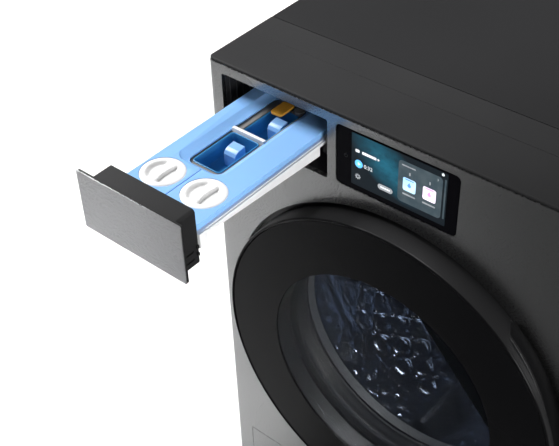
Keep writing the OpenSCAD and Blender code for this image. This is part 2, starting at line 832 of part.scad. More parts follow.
module drawer_tray() {
  color("#f2f3f4") placed() {
    // front bracket, open below
    difference() {
      span([-284, tray_front, cabinet_h - 87], [-132, tray_front + 14, tray_top - gap]);
      span([-281, tray_front + 3, cabinet_h - 88], [-135, tray_front + 11, tray_top - 3]);
    }
    difference() {
      union() {
        span([tray_left, tray_front + 4.5, tray_top - 2.5], [tray_right, tray_back, tray_top]);
        span([body_left, tray_front + 13, tray_floor], [body_right, tray_back, tray_top]);
      }
      // two tanks
      span([body_left + 2.5, tank_front, tray_floor + 2.5], [tank_mid_x - 1.2, tank_back, tray_top + 1]);
      span([tank_mid_x + 1.2, tank_front, tray_floor + 2.5], [body_right - 2.5, tank_back, tray_top + 1]);
      // cup well
      span([well_left - well_margin - 1, well_front - well_margin - 1, tray_floor + 2.5],
        [well_right + well_margin + 1, well_rear + well_margin + 1, tray_top + 1]);
      // channel beside the well that takes the water to the back
      span([well_right + 9, tank_back + 4, tray_floor + 2.5], [body_right - 2.5, tray_back - 3, tray_top + 1]);
    }
    // side skirts rise towards the front
    for (x = [tray_left, tray_right - 2.5]) along_x(x, x + 2.5) polygon([
      [tray_front + 6, cabinet_h - 74], [2, cabinet_h - 88.5], [2, tray_top - 1], [tray_front + 6, tray_top - 1]
    ]);
    // slide lips
    span([tray_right - 0.5, tray_front + 13, cabinet_h - 70], [tray_right + 3, 12, cabinet_h - 65.5]);
    span([tray_left - 3, tray_front + 13, cabinet_h - 70], [tray_left + 0.5, 12, cabinet_h - 65.5]);
  }
}

// Sunken border around the opening in the cover, with sloping sides
module well_dish() {
  x0 = well_left - 17;
  x1 = well_right + 9;
  y0 = well_front - 7;
  y1 = well_rear + 8;
  low = cover_top - 5;
  high = cover_top + 1;
  intersection() {
    flat((x0 + x1) / 2, (y0 + y1) / 2, x1 - x0, y1 - y0, 20, low, high);
    along_y(y0 - 1, y1 + 1) polygon([[x0 - 3, high], [well_left, low], [well_right, low], [x1 + 2, high]]);
    along_x(x0 - 1, x1 + 1) polygon([[y0 - 2, high], [well_front, low], [well_rear, low], [y1 + 2, high]]);
  }
}

module tank_cover() {
  mid_x = (tray_left + cover_right) / 2;
  mid_y = (tray_front + cover_back) / 2;
  w = cover_right - tray_left;
  d = cover_back - tray_front;
  color("#8fbcf2") placed() difference() {
    union() {
      flat(mid_x, mid_y, w, d, 6, cover_top - 3, cover_top);
      // skirt, set back along its lower edge
      difference() {
        union() {
          flat(mid_x, mid_y, w, d, 6, tray_top + 3, cover_top - 2);
          flat(mid_x, mid_y, w - 4, d - 4, 5, tray_top + gap, tray_top + 4);
        }
        flat(mid_x, mid_y, w - 8, d - 8, 4, tray_top - 1, cover_top - 1);
      }
      flat((well_left + well_right) / 2 - 4, (well_front + well_rear) / 2, well_right - well_left + 28,
        well_rear - well_front + 17, 18, cover_top - 7.5, cover_top - 2);
    }
    well_dish();
    flat((well_left + well_right) / 2, (well_front + well_rear) / 2, well_right - well_left,
      well_rear - well_front, 12, tray_top - 2, cover_top + 1);
    for (side = [-1, 1]) translate([tank_mid_x + side * cap_pitch / 2, cap_y, 0]) {
      translate([0, 0, tray_top]) cylinder(r = cap_neck_r, h = 20);
      translate([0, 0, cover_top - 1.8]) cylinder(r = cap_r + 0.5, h = 3);
    }
    // seam between the two tanks
    span([tank_mid_x - 0.5, tray_front - 1, cover_top - 1], [tank_mid_x + 0.5, well_front - 6, cover_top + 1]);
  }
}

module filler_cap(x) {
  translate([x, cap_y, 0]) difference() {
    union() {
      translate([0, 0, cover_top - 1.5]) cylinder(r = cap_r, h = 2.5);
      translate([0, 0, cover_top - 10]) cylinder(r = cap_neck_r - 0.05, h = 10);
    }
    // crescent recesses on both sides of the grip
    difference() {
      translate([0, 0, cover_top - 6]) cylinder(r = cap_r - 8, h = 10);
      span([-4.5, -cap_r, cover_top - 7], [4.5, cap_r, cover_top + 8]);
    }
  }
}

module detergent_cap() { color("white") placed() filler_cap(tank_mid_x - cap_pitch / 2); }
module softener_cap() { color("white") placed() filler_cap(tank_mid_x + cap_pitch / 2); }

// A cup from its edges [left, right, front, back]
module cup(edges, rim) {
  x = (edges[0] + edges[1]) / 2;
  y = (edges[2] + edges[3]) / 2;
  w = edges[1] - edges[0];
  d = edges[3] - edges[2];
  difference() {
    flat(x, y, w, d, 6, cup_floor, rim);
    flat(x, y, w - 4, d - 4, 4, cup_floor + 2, rim + 1);
  }
}

// A lift-out insert: a sloping finger tab over a hollow tower
module insert(edges, top) {
  low = cup_floor + 2 + gap;
  difference() {
    along_x(edges[0], edges[1]) polygon([
      [edges[2], low], [edges[3], low], [edges[3], top], [edges[2] + 9, top - 1.5], [edges[2] + 3, top - 4],
      [edges[2], top - 9]
    ]);
    span([edges[0] + 2, edges[2] + 2, cup_floor], [edges[1] - 2, edges[3] - 2, top - 11]);
  }
}

module detergent_cup() { color("#2f6fc4") placed() cup(front_cup, cabinet_h - 60); }
module softener_cup() { color("#2f6fc4") placed() cup(rear_cup, cabinet_h - 62.5); }
module detergent_insert() { color("#8fbcf2") placed() insert(front_insert, cabinet_h - 58); }
module softener_insert() { color("#8fbcf2") placed() insert(rear_insert, cabinet_h - 59.5); }

// Frame that carries the two cups, with the web between them and the siphon's dome
module cup_divider() {
  top = cabinet_h - 61.4;
  color("#f4f6f8") placed() difference() {
    union() {
      span([well_left - well_margin, well_front - well_margin, tray_floor + 2.5 + gap],
        [well_right + well_margin, well_rear + well_margin, top]);
      span([well_left + 1, -56, top - 1], [well_right - 1, -50.6, cabinet_h - 55]);
      translate([-199.5, 37, top - 1]) cylinder(r = 8.3, h = 7);
    }
    for (c = [front_cup, rear_cup])
      flat((c[0] + c[1]) / 2, (c[2] + c[3]) / 2, c[1] - c[0] + 2 * gap, c[3] - c[2] + 2 * gap, 6,
        tray_floor, top + 0.2);
    span([-229.5, 34.5, tray_floor], [-214.5, 42.5, top + 1]);
  }
}

module release_lever() {
  color("#e08a1e") placed() {
    flat(-222, 25, 20, 34, 4, lever_top - 3.5, lever_top);
    span([-228, 36, cabinet_h - 76], [-216, 41, lever_top - 3]);
  }
}

base_frame();
levelling_feet();
side_panel_left();
side_panel_right();
rear_panel();
rear_service_cover();
front_panel();
top_plate();
top_front_trim();
door_surround();
drawer_housing();
display_glass();
display_panel();
control_board();
door_gasket();
hinge_bracket();
door_lock();
inlet_valves();
cord_gland();
drain_outlet();
drain_pump();
filter_cap();
service_flap();
spring_rail();
damper_cylinders();
tub_rear();
tub_front();
counterweights();
shaft_bearings();
shaft_seal();
heater();
motor_stator();
damper_rods();
hanging_springs();
drum_shell();
drum_front_ring();
drum_back();
drum_lifters();
drum_spider();
drum_shaft();
motor_rotor();
door_ring();
door_glass();
door_inner_frame();
door_bowl();
hinge_leaf();
hinge_pin();
latch_hook();
drawer_fascia();
drawer_shell();
drawer_tray();
tank_cover();
detergent_cap();
softener_cap();
detergent_cup();
softener_cup();
detergent_insert();
softener_insert();
cup_divider();
release_lever();
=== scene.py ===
"""Front load washing machine: materials, detail pieces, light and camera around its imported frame."""
import json
import math

import bmesh
import bpy
from mathutils import Matrix, Vector


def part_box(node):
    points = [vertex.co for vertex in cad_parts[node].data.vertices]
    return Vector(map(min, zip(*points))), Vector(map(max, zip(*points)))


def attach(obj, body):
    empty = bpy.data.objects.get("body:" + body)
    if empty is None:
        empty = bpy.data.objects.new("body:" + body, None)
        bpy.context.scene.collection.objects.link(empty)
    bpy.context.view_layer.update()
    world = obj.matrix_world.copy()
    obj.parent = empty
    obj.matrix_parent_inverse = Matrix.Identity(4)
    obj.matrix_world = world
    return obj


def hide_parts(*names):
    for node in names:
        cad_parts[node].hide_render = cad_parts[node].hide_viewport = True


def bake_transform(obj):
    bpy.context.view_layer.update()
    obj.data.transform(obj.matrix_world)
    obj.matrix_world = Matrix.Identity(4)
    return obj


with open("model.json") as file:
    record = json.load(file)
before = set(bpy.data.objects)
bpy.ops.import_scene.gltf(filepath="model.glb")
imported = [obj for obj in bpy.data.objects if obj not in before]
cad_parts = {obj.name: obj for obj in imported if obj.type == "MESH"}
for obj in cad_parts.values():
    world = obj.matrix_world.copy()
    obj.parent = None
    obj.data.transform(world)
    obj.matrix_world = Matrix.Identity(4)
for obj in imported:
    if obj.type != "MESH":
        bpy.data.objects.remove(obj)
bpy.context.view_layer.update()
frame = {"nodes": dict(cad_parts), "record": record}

MM = 0.001
NODES = frame["nodes"]

# ---------------------------------------------------------------- places taken from the frame
FRONT_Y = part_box("front_panel")[0].y
TOP_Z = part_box("top_plate")[1].z
DOOR_LOW, DOOR_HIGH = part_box("door_ring")
DOOR_Z = (DOOR_LOW.z + DOOR_HIGH.z) / 2
DOOR_R = -DOOR_LOW.x
GLASS_LOW, GLASS_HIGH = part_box("display_glass")
SCREEN_Z = (GLASS_LOW.z + GLASS_HIGH.z) / 2


# ---------------------------------------------------------------- camera and light
AZIMUTH, ELEVATION, ROLL = math.radians(41.41), math.radians(40.22), math.radians(-2.26)
LENS = 70.16
SKY_AS_LIGHT, SKY_AS_BACKDROP = 0.13, 0.85
FLOOR_REACH = 14
WASH_HEIGHT, WASH_POWER = 3, 4.5  # metres, watts per square metre
EYE = Vector((0.6415, FRONT_Y - 0.9713, TOP_Z + 0.8414))


def add_camera():
    ahead = Vector((-math.sin(AZIMUTH) * math.cos(ELEVATION), math.cos(AZIMUTH) * math.cos(ELEVATION),
                    -math.sin(ELEVATION)))
    right = Vector((math.cos(AZIMUTH), math.sin(AZIMUTH), 0))
    up = right.cross(ahead)
    turned_right = math.cos(ROLL) * right + math.sin(ROLL) * up
    turned_up = math.cos(ROLL) * up - math.sin(ROLL) * right
    data = bpy.data.cameras.new("camera")
    data.lens = LENS
    data.sensor_width = 36
    data.clip_end = 50
    camera = bpy.data.objects.new("camera", data)
    bpy.context.scene.collection.objects.link(camera)
    rotation = Matrix((turned_right, turned_up, -ahead)).transposed()
    camera.matrix_world = Matrix.Translation(EYE) @ rotation.to_4x4()
    bpy.context.scene.camera = camera


def add_light(name, at, aim, size, power, colour=(1, 1, 1), spread=180):
    data = bpy.data.lights.new(name, "AREA")
    data.shape = "RECTANGLE"
    data.size, data.size_y = size
    data.energy = power
    data.color = colour
    data.spread = math.radians(spread)
    light = bpy.data.objects.new(name, data)
    bpy.context.scene.collection.objects.link(light)
    light.location = at
    light.rotation_euler = (Vector(aim) - Vector(at)).to_track_quat("-Z", "Y").to_euler()
    return light


def link_light(light, targets, state="EXCLUDE"):
    """Leaves some objects out of what a light shines on, or with INCLUDE lights only those."""
    group = bpy.data.collections.new(light.name + "_receivers")
    for target in targets:
        group.objects.link(target)
    for row in group.collection_objects:
        row.light_linking.link_state = state
    light.light_linking.receiver_collection = group


def add_world():
    """Pale backdrop, with a dimmer sky for the light and the reflections."""
    world = bpy.data.worlds.new("studio")
    bpy.context.scene.world = world
    world.use_nodes = True
    nodes, links = world.node_tree.nodes, world.node_tree.links
    sky = nodes["Background"]
    sky.inputs["Color"].default_value = (1, 1, 1, 1)
    seen = nodes.new("ShaderNodeMapRange")
    seen.inputs["To Min"].default_value = SKY_AS_LIGHT
    seen.inputs["To Max"].default_value = SKY_AS_BACKDROP
    links.new(nodes.new("ShaderNodeLightPath").outputs["Is Camera Ray"], seen.inputs["Value"])
    links.new(seen.outputs["Result"], sky.inputs["Strength"])


def add_floor():
    floor = bpy.data.objects.new("floor", bpy.data.meshes.new("floor"))
    bpy.context.scene.collection.objects.link(floor)
    corners = [(x * FLOOR_REACH, y * FLOOR_REACH, 0) for x, y in ((-1, -1), (1, -1), (1, 1), (-1, 1))]
    floor.data.from_pydata(corners, [], [(0, 1, 2, 3)])
    floor.data.materials.append(material_floor())
    return floor


def add_studio():
    """Lights and floor. Returns the key light, which must leave the pale drawer pieces out."""
    bpy.context.scene.view_settings.view_transform = "Standard"
    add_world()
    key = add_light("key", (-1.05, 0.63, 2.7), (-1.05, 0.63, 0), (3.4, 2.82), 48, spread=22)
    key.rotation_euler.z = math.radians(45)
    add_light("drum_lamp", (0.05, FRONT_Y + 0.2, DOOR_Z + 0.17), (0.02, FRONT_Y + 0.42, DOOR_Z - 0.2),
              (0.32, 0.12), 2.8, (0.9, 0.95, 1.0))
    left = add_light("left", (-1.9, -0.4, 2.4), (-0.21, FRONT_Y - 0.17, TOP_Z - 0.05), (1, 1), 92)
    right = add_light("right", (2.6, -1.7, 1.15), (-0.1, -0.4, 0.8), (1.2, 1.2), 85)
    rear = add_light("rear", (1.6, 3.4, 2.4), (0.2, 0.5, 0.6), (2, 1.6), 60)
    floor = add_floor()
    for light in (left, right, rear):
        link_light(light, [floor])
    # the far floor is evenly lit, so that only the front right falls off
    far = FLOOR_REACH
    for name, x0, x1, y0, y1 in (("wash_left", -far, -2.4, -far, far), ("wash_rear", -2.4, far, 1.9, far),
                                 ("wash_right", 1.7, far, -far, 1.9)):
        size = (x1 - x0, y1 - y0)
        at = ((x0 + x1) / 2, (y0 + y1) / 2)
        power = WASH_POWER * size[0] * size[1]
        wash = add_light(name, (*at, WASH_HEIGHT), (*at, 0), size, power, spread=40)
        link_light(wash, [floor], "INCLUDE")
    return key


# ---------------------------------------------------------------- material helpers
class Shader:
    """One material's node tree, built by short calls."""

    def __init__(self, name):
        self.material = bpy.data.materials.new(name)
        self.material.use_nodes = True
        self.tree = self.material.node_tree
        self.bsdf = self.tree.nodes["Principled BSDF"]
        self.bump_in = None

    def node(self, kind, **values):
        made = self.tree.nodes.new(kind)
        for key, value in values.items():
            if key in made.inputs:
                made.inputs[key].default_value = value
            else:
                setattr(made, key, value)
        return made

    def link(self, start, end):
        self.tree.links.new(start, end)

    def set(self, **values):
        for key, value in values.items():
            self.bsdf.inputs[key.replace("_", " ")].default_value = value
        return self

    def place(self, scale=(1, 1, 1)):
        """Coordinates in the object's own space, stretched."""
        where = self.node("ShaderNodeTexCoord").outputs["Object"]
        stretch = self.node("ShaderNodeMapping")
        stretch.inputs["Scale"].default_value = scale
        self.link(where, stretch.inputs["Vector"])
        return stretch.outputs["Vector"]

    def noise(self, scale, detail=3, stretch=(1, 1, 1), rough=0.5):
        made = self.node("ShaderNodeTexNoise", Scale=scale, Detail=detail, Roughness=rough)
        self.link(self.place(stretch), made.inputs["Vector"])
        return made.outputs["Fac"]

    def ramp(self, value, low, high, out_low, out_high):
        made = self.node("ShaderNodeMapRange")
        for key, number in zip(("From Min", "From Max", "To Min", "To Max"), (low, high, out_low, out_high)):
            made.inputs[key].default_value = number
        self.link(value, made.inputs["Value"])
        return made.outputs["Result"]

    def tint(self, value, colour_a, colour_b):
        """Base colour that runs between two colours."""
        made = self.node("ShaderNodeMix", data_type="RGBA")
        made.inputs["A"].default_value = (*colour_a, 1)
        made.inputs["B"].default_value = (*colour_b, 1)
        self.link(value, made.inputs["Factor"])
        self.link(made.outputs["Result"], self.bsdf.inputs["Base Color"])
        return self

    def rough(self, value, low, high):
        self.link(self.ramp(value, 0.3, 0.7, low, high), self.bsdf.inputs["Roughness"])
        return self

    def bump(self, value, depth, strength=1.0):
        made = self.node("ShaderNodeBump", Strength=strength, Distance=depth)
        self.link(value, made.inputs["Height"])
        if self.bump_in:
            self.link(self.bump_in, made.inputs["Normal"])
        self.bump_in = made.outputs["Normal"]
        self.link(self.bump_in, self.bsdf.inputs["Normal"])
        return self


def shade(colour, factor):
    return tuple(min(1.0, c * factor) for c in colour)


def material_floor():
    """Pale seamless paper."""
    s = Shader("studio_floor")
    s.set(Roughness=0.7)
    s.tint(s.noise(3, 3), (0.87, 0.87, 0.87), (0.89, 0.89, 0.89))
    return s.material


def brushed(name, colour, metallic=1.0, rough=(0.3, 0.4), along=(28, 28, 260), depth=0.000008):
    """Metal with fine scratches along one direction."""
    s = Shader(name)
    grain = s.noise(9, 6, along, 0.7)
    cloud = s.noise(3, 2)
    s.set(Metallic=metallic)
    s.tint(grain, shade(colour, 0.97), shade(colour, 1.03)).rough(grain, *rough).bump(grain, depth, 0.12)
    s.bump(cloud, depth, 0.1)
    return s.material


def plastic(name, colour, rough=(0.35, 0.45), grain_size=1400, depth=0.00003, **extra):
    """Moulded plastic: fine grain, slow colour drift and slightly uneven gloss."""
    s = Shader(name)
    grain = s.noise(grain_size, 2)
    drift = s.noise(7, 3)
    s.set(**extra)
    s.tint(drift, shade(colour, 0.93), shade(colour, 1.06)).rough(drift, *rough).bump(grain, depth, 0.4)
    return s.material


def painted(name, colour, rough=(0.4, 0.5), metallic=0.0, depth=0.00004, grain_size=600, **extra):
    """Powder coat: orange peel and a little colour drift."""
    s = Shader(name)
    peel = s.noise(grain_size, 2)
    drift = s.noise(4, 3)
    s.set(Metallic=metallic, **extra)
    s.tint(drift, shade(colour, 0.94), shade(colour, 1.06)).rough(drift, *rough).bump(peel, depth, 0.4)
    return s.material


def clear(name, colour, alpha, rough=(0.02, 0.04), **extra):
    """Thin clear sheet: the alpha lets the inside show, the gloss stays."""
    s = Shader(name)
    wipe = s.noise(6, 3)
    s.set(Alpha=alpha, **extra)
    s.tint(wipe, shade(colour, 0.9), shade(colour, 1.1)).rough(wipe, *rough)
    return s.material


def lit(name, colour_a, colour_b, strength, cloud=60, stretch=(1, 1, 1)):
    """Lit screen element with a soft drift between two colours."""
    s = Shader(name)
    drift = s.ramp(s.noise(cloud, 2, stretch), 0.35, 0.65, 0, 1)
    s.set(Roughness=0.3, Emission_Strength=strength, Specular_IOR_Level=0.04)
    s.tint(drift, colour_a, colour_b)
    s.link(s.bsdf.inputs["Base Color"].links[0].from_socket, s.bsdf.inputs["Emission Color"])
    return s.material


def screen_glow():
    """Dark picture with a blue cloud and a teal streak that falls to the right."""
    s = Shader("screen_glow")
    s.set(Roughness=0.3, Emission_Strength=1.0, Specular_IOR_Level=0.04)
    spot = s.node("ShaderNodeTexGradient", gradient_type="SPHERICAL")
    at = s.node("ShaderNodeMapping", vector_type="TEXTURE")
    at.inputs["Location"].default_value = (-0.018, FRONT_Y, SCREEN_Z + 0.014)
    at.inputs["Rotation"].default_value = (0, 0.6, 0)
    at.inputs["Scale"].default_value = (0.075, 0.05, 0.038)
    s.link(s.node("ShaderNodeTexCoord").outputs["Object"], at.inputs["Vector"])
    s.link(at.outputs["Vector"], spot.inputs["Vector"])
    cloud = s.noise(38, 4, (1, 1, 1.4), 0.6)
    mixed = s.node("ShaderNodeMath", operation="MULTIPLY")
    s.link(s.ramp(spot.outputs["Fac"], 0, 0.75, 0, 1), mixed.inputs[0])
    s.link(s.ramp(cloud, 0.3, 0.7, 0.35, 1.1), mixed.inputs[1])
    s.tint(mixed.outputs[0], (0.007, 0.01, 0.013), (0.012, 0.085, 0.13))
    s.link(s.bsdf.inputs["Base Color"].links[0].from_socket, s.bsdf.inputs["Emission Color"])
    return s.material


MATERIALS = {
    "front_steel": brushed("front_steel", (0.24, 0.241, 0.243), 1.0, (0.25, 0.3)),
    "fascia_steel": brushed("fascia_steel", (0.37, 0.373, 0.38), 1.0, (0.25, 0.31)),
    "cabinet_paint": painted("cabinet_paint", (0.2, 0.203, 0.21), (0.35, 0.45), 0.3),
    "rear_steel": painted("rear_steel", (0.5, 0.51, 0.52), (0.35, 0.5), 0.8, 0.00008, 90),
    "top_dark": painted("top_dark", (0.012, 0.012, 0.0125), (0.5, 0.6), Specular_IOR_Level=0.06),
    "trim_dark": plastic("trim_dark", (0.015, 0.015, 0.0155), (0.45, 0.55), Specular_IOR_Level=0.1),
    "black_plastic": plastic("black_plastic", (0.012, 0.012, 0.013), (0.35, 0.5)),
    "gloss_black": plastic("gloss_black", (0.004, 0.004, 0.0045), (0.1, 0.16), 300, 0.00001,
                           Specular_IOR_Level=0.05),
    "display_glass": plastic("display_glass", (0.003, 0.003, 0.004), (0.05, 0.09), 200, 0.000005,
                             Specular_IOR_Level=0.02),
    "display_panel": plastic("display_panel", (0.01, 0.03, 0.05), (0.2, 0.3)),
    "board_green": plastic("board_green", (0.03, 0.16, 0.08), (0.3, 0.5), 300),
    "gasket_rubber": plastic("gasket_rubber", (0.018, 0.019, 0.021), (0.4, 0.5), 1500, 0.00002),
    "hinge_steel": brushed("hinge_steel", (0.6, 0.61, 0.62)),
    "lock_white": plastic("lock_white", (0.75, 0.75, 0.74)),
    "valve_blue": plastic("valve_blue", (0.05, 0.16, 0.42)),
    "black_rubber": plastic("black_rubber", (0.02, 0.02, 0.02), (0.6, 0.75), 700, 0.00008),
    "hose_grey": plastic("hose_grey", (0.1, 0.105, 0.11)),
    "pump_white": plastic("pump_white", (0.62, 0.62, 0.61)),
    "cap_blue": plastic("cap_blue", (0.06, 0.16, 0.42)),
    "rail_steel": painted("rail_steel", (0.5, 0.51, 0.52), (0.35, 0.5), 0.8),
    "base_steel": painted("base_steel", (0.06, 0.06, 0.063)),
    "damper_black": painted("damper_black", (0.06, 0.06, 0.063)),
    "rod_steel": brushed("rod_steel", (0.7, 0.7, 0.71), 1.0, (0.12, 0.2), (260, 260, 2)),
    "tub_plastic": plastic("tub_plastic", (0.06, 0.062, 0.066)),
    "concrete": plastic("concrete", (0.36, 0.35, 0.33), (0.8, 0.95), 120, 0.0006),
    "bearing_steel": brushed("bearing_steel", (0.65, 0.66, 0.67), 1.0, (0.1, 0.2)),
    "heater_steel": brushed("heater_steel", (0.55, 0.52, 0.48)),
    "copper_coils": brushed("copper_coils", (0.5, 0.2, 0.09), 0.9, (0.3, 0.4), (300, 2, 2)),
    "spring_steel": brushed("spring_steel", (0.2, 0.21, 0.22)),
    "drum_steel": brushed("drum_steel", (0.21, 0.235, 0.28), 1.0, (0.1, 0.16)),
    "lifter_steel": brushed("lifter_steel", (0.62, 0.63, 0.66), 1.0, (0.1, 0.18)),
    "spider_aluminium": painted("spider_aluminium", (0.5, 0.5, 0.51), (0.4, 0.55), 1.0, 0.0002, 200),
    "rotor_steel": painted("rotor_steel", (0.5, 0.51, 0.52), (0.3, 0.4), 1.0),
    "door_glass": clear("door_glass", (0.003, 0.004, 0.006), 0.3, Specular_IOR_Level=0.12),
    "bowl_glass": clear("bowl_glass", (0.03, 0.035, 0.05), 0.04),
    "tray_white": plastic("tray_white", (0.85, 0.855, 0.86), (0.3, 0.4)),
    "cover_blue": plastic("cover_blue", (0.25, 0.49, 0.88), (0.28, 0.38), 900, 0.00001, Subsurface_Weight=0.1,
                          Subsurface_Scale=0.004),
    "cap_white": plastic("cap_white", (0.82, 0.82, 0.82), (0.35, 0.45)),
    "cup_blue": plastic("cup_blue", (0.05, 0.27, 0.55), (0.16, 0.26)),
    "lever_orange": plastic("lever_orange", (0.88, 0.42, 0.05), (0.25, 0.35)),
}

BODY_OF = {node: body for body, nodes in frame["record"]["behaviour"]["bodies"].items() for node in nodes}
SLOT_OF = {row["node"]: row["material_slot"] for row in frame["record"]["subparts"]}


def dress_frame():
    for node, slot in SLOT_OF.items():
        data = NODES[node].data
        data.materials.clear()
        data.materials.append(MATERIALS[slot])


# ---------------------------------------------------------------- making pieces
BEVEL_FROM = 32  # degrees between two faces


def add_piece(name, bm, body, slot, material=None, node=None, sharp=35):
    """Turns a bmesh into a piece that rides on a body, and stands for a CAD node where one is named."""
    data = bpy.data.meshes.new(name)
    bmesh.ops.recalc_face_normals(bm, faces=bm.faces)
    bm.to_mesh(data)
    bm.free()
    data.polygons.foreach_set("use_smooth", [True] * len(data.polygons))
    data.set_sharp_from_angle(angle=math.radians(sharp))
    data.materials.append(material or MATERIALS[slot])
    piece = bpy.data.objects.new(name, data)
    bpy.context.scene.collection.objects.link(piece)
    if body:
        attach(piece, body)
    if node:
        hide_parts(node)
    return piece


def apply_modifiers(piece):
    bpy.context.view_layer.update()
    done = bpy.data.meshes.new_from_object(piece.evaluated_get(bpy.context.evaluated_depsgraph_get()))
    piece.modifiers.clear()
    piece.data = done


def cut_box(piece, low, high):
    bm = bmesh.new()
    bmesh.ops.create_cube(bm, size=1)
    low, high = Vector(low), Vector(high)
    for v in bm.verts:
        v.co = Vector([(low[i] + high[i]) / 2 + v.co[i] * (high[i] - low[i]) for i in range(3)])
    data = bpy.data.meshes.new("cutter")
    bm.to_mesh(data)
    bm.free()
    cutter = bpy.data.objects.new("cutter", data)
    bpy.context.scene.collection.objects.link(cutter)
    cut = piece.modifiers.new("cut", "BOOLEAN")
    cut.operation, cut.object, cut.solver = "DIFFERENCE", cutter, "EXACT"
    apply_modifiers(piece)
    bpy.data.objects.remove(cutter)


def rounded_copy(node, width, segments=2, cuts=()):
    """Copy of a CAD node with its edges rounded by so many millimetres, after boxes are cut out of it."""
    bm = bmesh.new()
    bm.from_mesh(NODES[node].data)
    bmesh.ops.remove_doubles(bm, verts=bm.verts, dist=1e-6)
    bmesh.ops.dissolve_limit(bm, angle_limit=math.radians(0.6), verts=bm.verts, edges=bm.edges)
    piece = add_piece(node + "_shape", bm, BODY_OF[node], SLOT_OF[node], node=node)
    for low, high in cuts:
        cut_box(piece, low, high)
    bevel = piece.modifiers.new("edges", "BEVEL")
    bevel.width = width * MM
    bevel.segments = segments
    bevel.limit_method = "ANGLE"
    bevel.angle_limit = math.radians(BEVEL_FROM)
    bevel.harden_normals = True
    bevel.use_clamp_overlap = True
    return piece


def local(x, y, z):
    """Machine millimetres (x from the middle, y from the front panel, z below the top) to metres."""
    return Vector((x * MM, FRONT_Y + y * MM, TOP_Z + z * MM))


def lathe(outline, steps=180):
    """Closed ring about the drum's axis. outline(angle) gives [radius, y] points in millimetres."""
    bm = bmesh.new()
    rings = []
    for i in range(steps):
        a = 2 * math.pi * i / steps
        rings.append([bm.verts.new((r * MM * math.cos(a), FRONT_Y + y * MM, DOOR_Z + r * MM * math.sin(a)))
                      for r, y in outline(math.degrees(a))])
    count = len(rings[0])
    for i in range(steps):
        here, there = rings[i], rings[(i + 1) % steps]
        for j in range(count):
            k = (j + 1) % count
            bm.faces.new((here[j], here[k], there[k], there[j]))
    return bm


def smooth_step(value, low, high):
    t = min(1.0, max(0.0, (value - low) / (high - low)))
    return t * t * (3 - 2 * t)


def prism(outline, y0, y1):
    """Slab standing in the XZ plane from (x, z) points in machine millimetres."""
    bm = bmesh.new()
    front = [bm.verts.new(local(x, y0, z)) for x, z in outline]
    back = [bm.verts.new(local(x, y1, z)) for x, z in outline]
    bm.faces.new(front)
    bm.faces.new(back[::-1])
    for j in range(len(outline)):
        k = (j + 1) % len(outline)
        bm.faces.new((front[k], front[j], back[j], back[k]))
    return bm


def round_rect(x, z, w, h, r, steps=6):
    points = []
    for cx, cz, start in ((w / 2 - r, h / 2 - r, 0), (r - w / 2, h / 2 - r, 90),
                          (r - w / 2, r - h / 2, 180), (w / 2 - r, r - h / 2, 270)):
        for i in range(steps + 1):
            a = math.radians(start + 90 * i / steps)
            points.append((x + cx + r * math.cos(a), z + cz + r * math.sin(a)))
    return points


def disc(x, z, r, steps=32):
    return [(x + r * math.cos(2 * math.pi * i / steps), z + r * math.sin(2 * math.pi * i / steps))
            for i in range(steps)]


def ring_part(x, z, r0, r1, start, end, steps=24):
    """Outline of a ring or an arc of one."""
    angles = [math.radians(start + (end - start) * i / steps) for i in range(steps + 1)]
    return ([(x + r1 * math.cos(a), z + r1 * math.sin(a)) for a in angles]
            + [(x + r0 * math.cos(a), z + r0 * math.sin(a)) for a in reversed(angles)])


# ---------------------------------------------------------------- door
GRIP_LOW, GRIP_HIGH = -20, 50  # degrees up from the right, where fingers reach behind the ring
HINGE_HALF = 9.9  # degrees either side of the left, where the hinge is
GRIP_BACK, HINGE_BACK = 11.5, 4.8  # depth of the side wall at the two, behind the ring's front
WINDOW_R = 203
RIM_Y = (DOOR_LOW.y - FRONT_Y) / MM
RING_BACK = (DOOR_HIGH.y - FRONT_Y) / MM
RING_R = DOOR_R / MM
RING_SATIN = plastic("ring_satin", (0.014, 0.014, 0.0145), (0.3, 0.38), Specular_IOR_Level=0.08)


def ring_back(angle):
    """Where the door's side wall ends: it gives way to fingers on the right and to the hinge on the left."""
    angle = (angle + 180) % 360 - 180
    grip = smooth_step(angle, GRIP_LOW - 3, GRIP_LOW + 4)
    grip *= 1 - smooth_step(angle, GRIP_HIGH - 4, GRIP_HIGH + 3)
    hinge = 1 - smooth_step(180 - abs(angle), HINGE_HALF - 0.4, HINGE_HALF + 0.4)
    return RING_BACK + grip * (RIM_Y + GRIP_BACK - RING_BACK) + hinge * (RIM_Y + HINGE_BACK - RING_BACK)


def ring_outline(angle):
    back = ring_back(angle)
    return [(RING_R - 5, RIM_Y + 1.6), (RING_R - 4.2, RIM_Y + 0.5), (RING_R - 3, RIM_Y),
            (RING_R - 1.6, RIM_Y + 0.5), (RING_R - 0.5, RIM_Y + 1.7), (RING_R, RIM_Y + 3.4),
            (RING_R, back - 0.6), (RING_R - 0.6, back), (RING_R - 3, back), (RING_R - 3.5, back - 0.5),
            (RING_R - 3.5, RIM_Y + 4.6), (RING_R - 5, RIM_Y + 4)]


